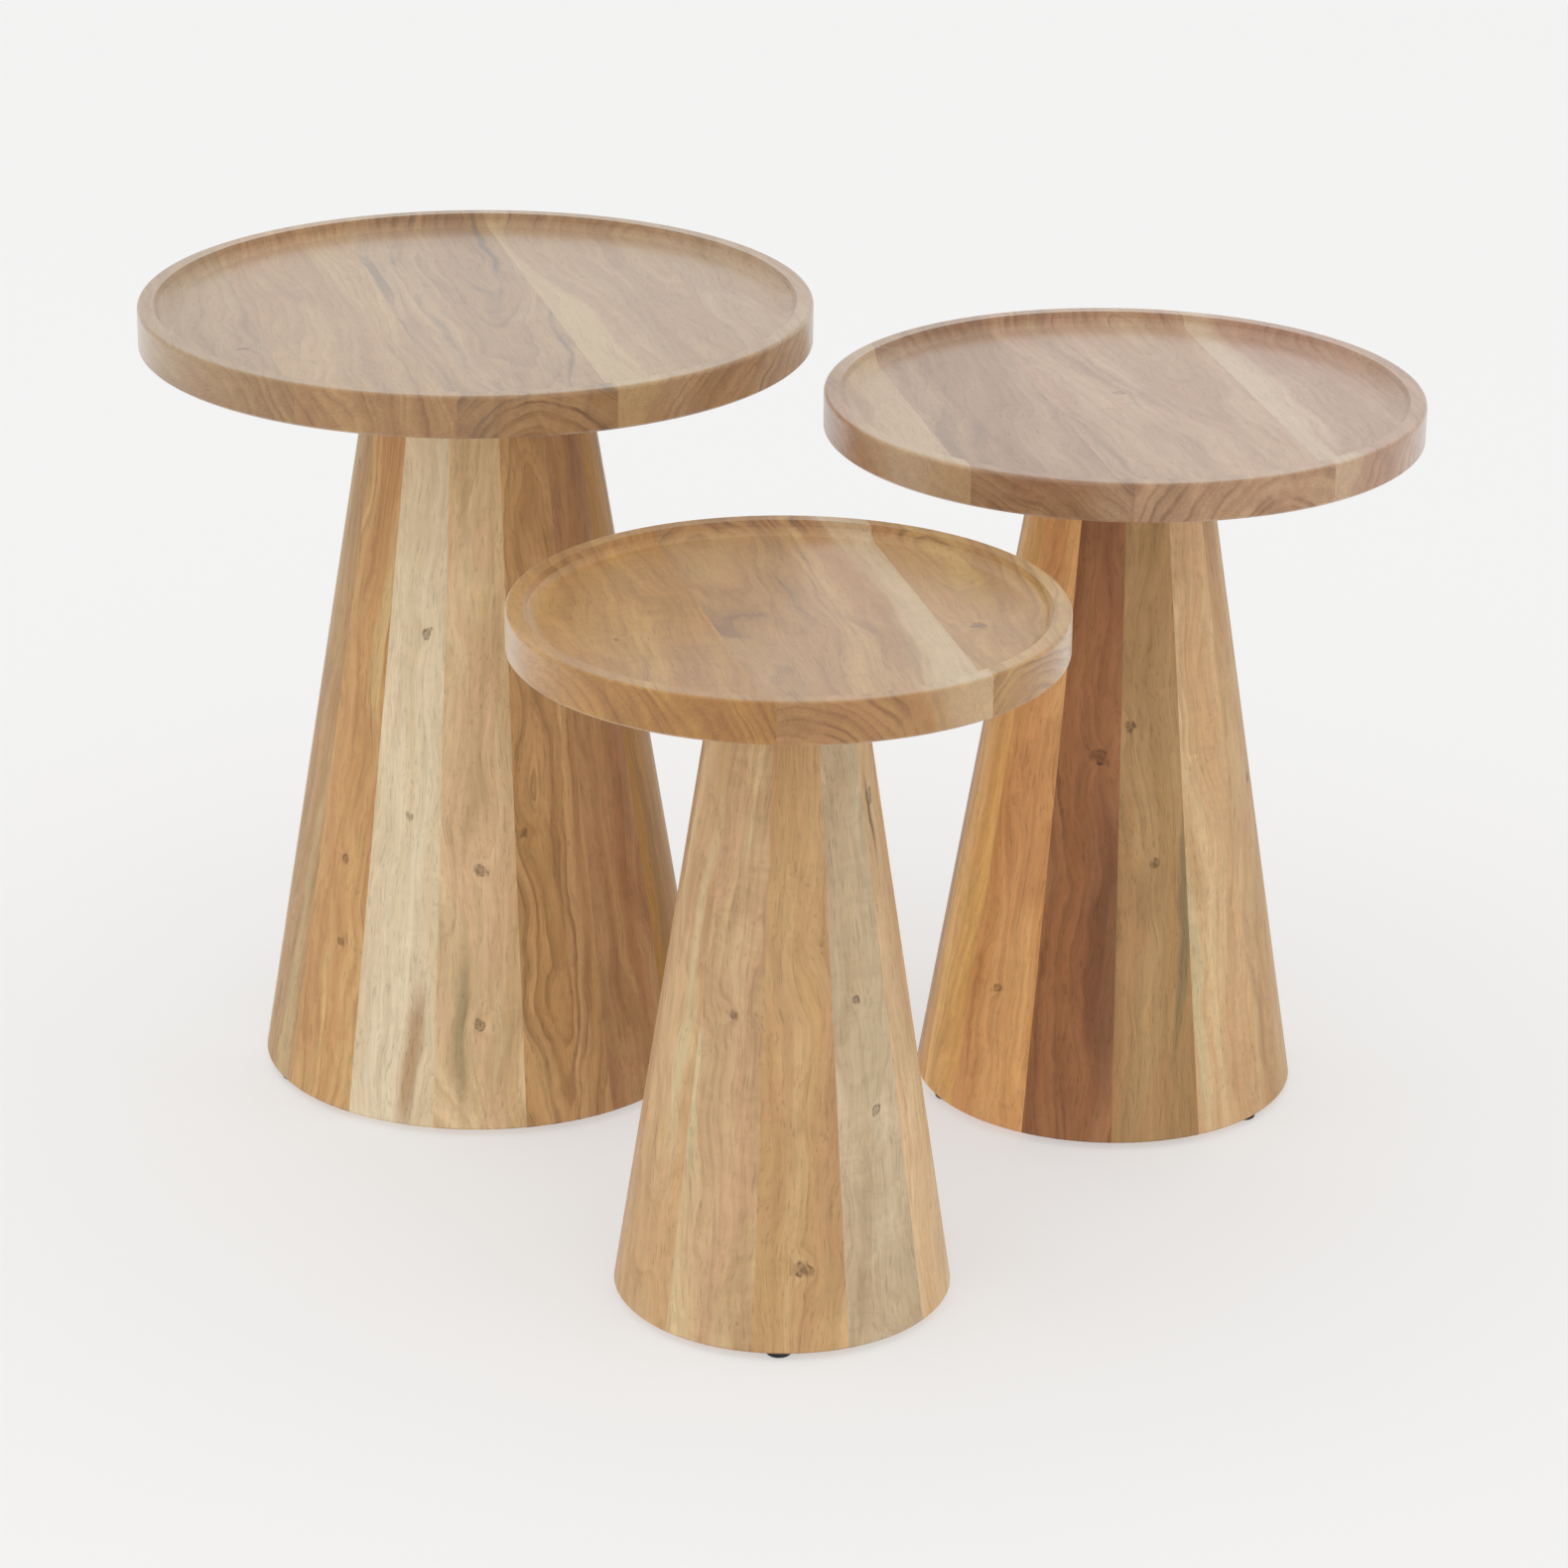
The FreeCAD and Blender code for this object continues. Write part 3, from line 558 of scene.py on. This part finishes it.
plankLooks = {
    "large": {
        1: {
            "pale": "#b5966c", "main": "#a6865d", "deep": "#8a6844", "blush": "#a8815c",
            "heart": (-0.055, -0.30), "knots": [((0.014, -0.165, -0.06), 0.004)],
        },
        2: {
            "pale": "#bf9d6f", "main": "#b08a60", "deep": "#916b47", "blush": "#af835d",
            "heart": (-0.03, -0.24),
        },
        3: {
            "pale": "#bd9d74", "main": "#ac8960", "deep": "#7e5d40", "blush": "#aa835e",
            "heart": (-0.006, 0.012), "lean": (0.10, 0.05), "rings": 0.34, "ringGap": 0.010,
            "streak": 0.75, "streakColour": "#6b5f52",
        },
        4: {
            "pale": "#bc9c73", "main": "#ac8c65", "deep": "#916c4c", "blush": "#ad8560",
            "heart": (-0.03, 0.158), "lean": (0.05, -0.045), "sapFrom": 0.105, "sap": "#d0b889",
        },
        5: {
            "pale": "#bb9d7a", "main": "#ab8b65", "deep": "#8f6a4b", "blush": "#ad8560",
            "heart": (-0.05, 0.32),
        },
    },
    "medium": {
        1: {
            "pale": "#c39e7b", "main": "#b48e6a", "deep": "#966d4d", "blush": "#b58666",
            "heart": (-0.04, -0.262), "sapFrom": 0.106, "sap": "#cfb791",
        },
        2: {
            "pale": "#b59472", "main": "#a37f5f", "deep": "#805c40", "blush": "#a3775b",
            "heart": (-0.05, -0.16), "rings": 0.26, "streak": 0.4, "streakColour": "#755c4c",
        },
        3: {
            "pale": "#c8a887", "main": "#b89471", "deep": "#936c50", "blush": "#b98c6f",
            "heart": (-0.012, 0.056), "lean": (0.10, -0.04), "rings": 0.34, "ringGap": 0.008,
            "streak": 0.3, "knots": [((0.014, 0.000, 0.02), 0.004)],
        },
        4: {
            "pale": "#c4a386", "main": "#b59275", "deep": "#986f57", "blush": "#b78973",
            "heart": (-0.03, 0.212), "lean": (0.05, -0.035), "sapFrom": 0.112, "sap": "#dbc6a7",
        },
    },
    "small": {
        1: {
            "pale": "#c79953", "main": "#b48544", "deep": "#90612f", "blush": "#b37e45",
            "heart": (-0.05, -0.20), "curl": 0.32, "knots": [((0.014, -0.110, -0.02), 0.003)],
        },
        2: {
            "pale": "#c79f66", "main": "#b58b53", "deep": "#8d643b", "blush": "#b48258",
            "heart": (-0.03, -0.03), "lean": (0.04, 0.05), "rings": 0.32, "streak": 0.55,
            "streakColour": "#775c48", "sapFrom": 0.100, "sap": "#d9c5a2",
        },
        3: {
            "pale": "#c9a160", "main": "#b48c4f", "deep": "#8a6036", "blush": "#b7834f",
            "heart": (-0.008, 0.122), "lean": (0.09, 0.0), "rings": 0.36, "streak": 0.3, "curl": 0.22,
            "knots": [((0.014, 0.110, -0.035), 0.005)],
        },
    },
}
commonTones = [
    {"pale": "#d8b68a", "main": "#caa276", "deep": "#a17752", "blush": "#c99a74"},
    {"pale": "#cfa674", "main": "#be9160", "deep": "#956944", "blush": "#c08d62"},
    {"pale": "#dcc9a8", "main": "#d0ba94", "deep": "#ad936c", "blush": "#ccb28e"},
    {"pale": "#bb9069", "main": "#aa7d57", "deep": "#86603f", "blush": "#ac7b5a"},
    {"pale": "#c7a77a", "main": "#b69467", "deep": "#907049", "blush": "#b98f68"},
]


def commonLook(luck):
    look = dict(commonTones[luck.choice((0, 0, 1, 1, 2, 3, 4, 4))])
    look["heart"] = (-luck.uniform(0.015, 0.06), luck.uniform(-0.10, 0.10))
    look["lean"] = (luck.choice((-1, 1)) * luck.uniform(0.05, 0.10), luck.uniform(-0.03, 0.03))
    look["rings"] = luck.uniform(0.20, 0.40)
    look["ringGap"] = luck.uniform(0.005, 0.008)
    if luck.random() < 0.45:
        spot = (0, luck.uniform(-0.015, 0.015), luck.uniform(0.08, 0.42))
        look["knots"] = [(spot, luck.uniform(0.003, 0.005))]
    return look


# tops: more oil than the staves, so a clear coat with a little haze over a finer grain
topFinish = {"coat": 1.0, "haze": 0.35, "shine": 0.1, "fibre": 0.24, "pores": 0.5, "bend": 0.035}
plankMiddle = 0.022  # below the top of the table

for tableNumber, (table, size) in enumerate(tables.items()):
    x, y = size["axis"]
    luck = random.Random(40 + tableNumber)
    firstSeed = tableNumber * 20
    slope = Matrix.Rotation(-math.atan(size["lean"]), 3, "Y")
    for number in range(1, size["staves"] + 1):
        turn = math.radians(size["staveTurn"] + (number - 1) * 360 / size["staves"])
        foot = (x + size["foot"] * math.cos(turn), y + size["foot"] * math.sin(turn), 0.0)
        rotation = Matrix.Rotation(turn, 3, "Z") @ slope
        look = staveLooks[table].get(number) or commonLook(luck)
        name = f"{table}_stave_{number:02d}"
        dress(name, boardMaterial(name, foot, rotation, 1.0 + firstSeed + number, look))
    turn = math.radians(size["plankTurn"])
    acrossWay = Vector((math.cos(turn), math.sin(turn), 0))
    alongWay = Vector((-math.sin(turn), math.cos(turn), 0))
    rotation = Matrix((Vector((0, 0, 1)), acrossWay, alongWay)).transposed()
    for number in range(1, size["planks"] + 1):
        look = {**topFinish, **(plankLooks[table].get(number) or commonLook(luck))}
        name = f"{table}_plank_{number}"
        start = (x, y, size["top"] - plankMiddle)
        dress(name, boardMaterial(name, start, rotation, 12.0 + firstSeed + number, look))
    print(table, "table: boards finished")

neckBlock = {
    "pale": "#c8ab80", "main": "#b59468", "deep": "#93714c",
    "heart": (-0.09, 0.02), "rings": 0.5, "satin": 0.7, "fibre": 0.3,
}
neckStart = 0.4  # above the floor
for tableNumber, (table, size) in enumerate(tables.items()):
    name = table + "_neck_block"
    lying = Matrix.Rotation(math.radians(90), 3, "X")
    dress(name, boardMaterial(name, (*size["axis"], neckStart), lying, 90.0 + tableNumber, neckBlock))

glidePlastic = {"colour": "#0c0c0d", "worn": "#242322", "roughness": 0.52, "metallic": 0.0, "scale": 180.0}
screwSteel = {"colour": "#b9b7b0", "worn": "#7f7c74", "roughness": 0.34, "metallic": 1.0, "scale": 300.0}
wear = {
    "fineScale": 7.0, "rubbedFrom": (0.45, 0.75), "roughSwing": 0.18,
    "bumpStrength": 0.2, "bumpHeight": 0.0001,
}


def buildScuffs():
    # small scratches and rub marks
    tree, given, out = startGroup("scuffs", [("Place", "Vector"), ("Scale", "Float")],
                                  [("Mask", "Float"), ("Fine", "Float")])
    broad = noise(tree, given["Place"], given["Scale"], 4.0, 0.65, 0.8)[0]
    fine = noise(tree, given["Place"], calc(tree, "MULTIPLY", given["Scale"], wear["fineScale"]))[0]
    feed(tree, out["Mask"], ramp(tree, broad, *wear["rubbedFrom"]))
    feed(tree, out["Fine"], fine)
    return tree


scuffs = buildScuffs()


def smallPart(name, look):
    material = bpy.data.materials.new(name)
    material.use_nodes = True
    tree = material.node_tree
    shader = tree.nodes["Principled BSDF"]
    coords = tree.nodes.new("ShaderNodeTexCoord")
    marks = place(tree, scuffs, place=coords.outputs["Object"], scale=look["scale"])
    colour = blendColour(tree, marks["Mask"], hexColour(look["colour"]), hexColour(look["worn"]))
    tree.links.new(colour, shader.inputs["Base Color"])
    roughness = swing(tree, look["roughness"], marks["Fine"], wear["roughSwing"])
    tree.links.new(roughness, shader.inputs["Roughness"])
    bump = tree.nodes.new("ShaderNodeBump")
    bump.inputs["Strength"].default_value = wear["bumpStrength"]
    bump.inputs["Distance"].default_value = wear["bumpHeight"]
    tree.links.new(marks["Fine"], bump.inputs["Height"])
    tree.links.new(bump.outputs["Normal"], shader.inputs["Normal"])
    shader.inputs["Metallic"].default_value = look["metallic"]
    return material


glideMaterial = smallPart("glidePlastic", glidePlastic)
screwMaterial = smallPart("screwSteel", screwSteel)
for table in tables:
    dress(table + "_glides", glideMaterial)
    dress(table + "_top_screws", screwMaterial)
print("glides, screws and neck blocks finished")

studio = {
    "floor": "#b2b2b2", "floorSpot": "#acacac", "spotStrength": 0.03, "spotScale": 3.0,
    "floorRoughness": 0.9,
    "glow": 0.485, "roomLight": 0.90, "roomColour": (1.0, 0.995, 0.985, 1.0), "softbox": 9.0, "fill": 3.0,
    "front": -6.0, "back": 3.2, "curve": 1.8, "curveSteps": 12, "height": 7.0, "halfWidth": 7.0, "drop": 0.0002,
}


def buildFloor():
    # flat floor that curves up far behind into a backdrop; a hair low, so that nothing touches it
    back, curve = studio["back"], studio["curve"]
    profile = [(studio["front"], 0.0), (back, 0.0)]
    for step in range(1, studio["curveSteps"] + 1):
        angle = math.radians(90) * step / studio["curveSteps"]
        profile.append((back + curve * math.sin(angle), curve * (1 - math.cos(angle))))
    profile.append((back + curve, studio["height"]))
    sides = (-studio["halfWidth"], studio["halfWidth"])
    points = [(side, y, z - studio["drop"]) for y, z in profile for side in sides]
    faces = [(2 * i, 2 * i + 1, 2 * i + 3, 2 * i + 2) for i in range(len(profile) - 1)]
    mesh = bpy.data.meshes.new("studioFloor")
    mesh.from_pydata(points, [], faces)
    mesh.polygons.foreach_set("use_smooth", [True] * len(faces))
    floor = bpy.data.objects.new("studioFloor", mesh)
    bpy.context.collection.objects.link(floor)
    material = bpy.data.materials.new("studioPaper")
    material.use_nodes = True
    tree = material.node_tree
    shader = tree.nodes["Principled BSDF"]
    coords = tree.nodes.new("ShaderNodeTexCoord")
    paper = noise(tree, coords.outputs["Object"], studio["spotScale"])[0]
    plain, spot = hexColour(studio["floor"]), hexColour(studio["floorSpot"])
    tree.links.new(stain(tree, plain, spot, paper, studio["spotStrength"]), shader.inputs["Base Color"])
    shader.inputs["Roughness"].default_value = studio["floorRoughness"]
    shader.inputs["Specular IOR Level"].default_value = 0.0
    shader.inputs["Emission Color"].default_value = (1.0, 1.0, 1.0, 1.0)
    shader.inputs["Emission Strength"].default_value = studio["glow"]  # the floor glows, so shadows stay faint
    mesh.materials.append(material)


def addLight(name, where, aim, sizeX, sizeY, power):
    lamp = bpy.data.lights.new(name, "AREA")
    lamp.shape = "RECTANGLE"
    lamp.size = sizeX
    lamp.size_y = sizeY
    lamp.energy = power
    holder = bpy.data.objects.new(name, lamp)
    holder.location = where
    holder.rotation_euler = (Vector(aim) - Vector(where)).to_track_quat("-Z", "Y").to_euler()
    bpy.context.collection.objects.link(holder)


buildFloor()
addLight("softboxAbove", (-0.6, -0.6, 3.4), (0, 0, 0.3), 3.2, 3.2, studio["softbox"])
addLight("fillFront", (0.9, -4.2, 2.4), (0, 0, 0.3), 2.4, 1.8, studio["fill"])
world = bpy.data.worlds.new("room")
world.use_nodes = True
world.node_tree.nodes["Background"].inputs["Color"].default_value = studio["roomColour"]
world.node_tree.nodes["Background"].inputs["Strength"].default_value = studio["roomLight"]
bpy.context.scene.world = world
bpy.context.scene.view_settings.view_transform = "Standard"

# place in metres, down and roll in degrees, lens and sensor in millimetres
viewpoint = {
    "place": (0.0048, -3.2392, 1.5221), "down": 21.28, "roll": 0.56,
    "lens": 121.2, "sensor": 36.0, "farthest": 60.0,
}
camera = bpy.data.cameras.new("camera")
camera.lens = viewpoint["lens"]
camera.sensor_width = viewpoint["sensor"]
camera.clip_end = viewpoint["farthest"]
cameraHolder = bpy.data.objects.new("camera", camera)
tilt = Matrix.Rotation(math.radians(90 - viewpoint["down"]), 4, "X")
roll = Matrix.Rotation(math.radians(viewpoint["roll"]), 4, "Z")
cameraHolder.matrix_world = Matrix.Translation(viewpoint["place"]) @ tilt @ roll
bpy.context.collection.objects.link(cameraHolder)
bpy.context.scene.camera = cameraHolder

print("scene ready")
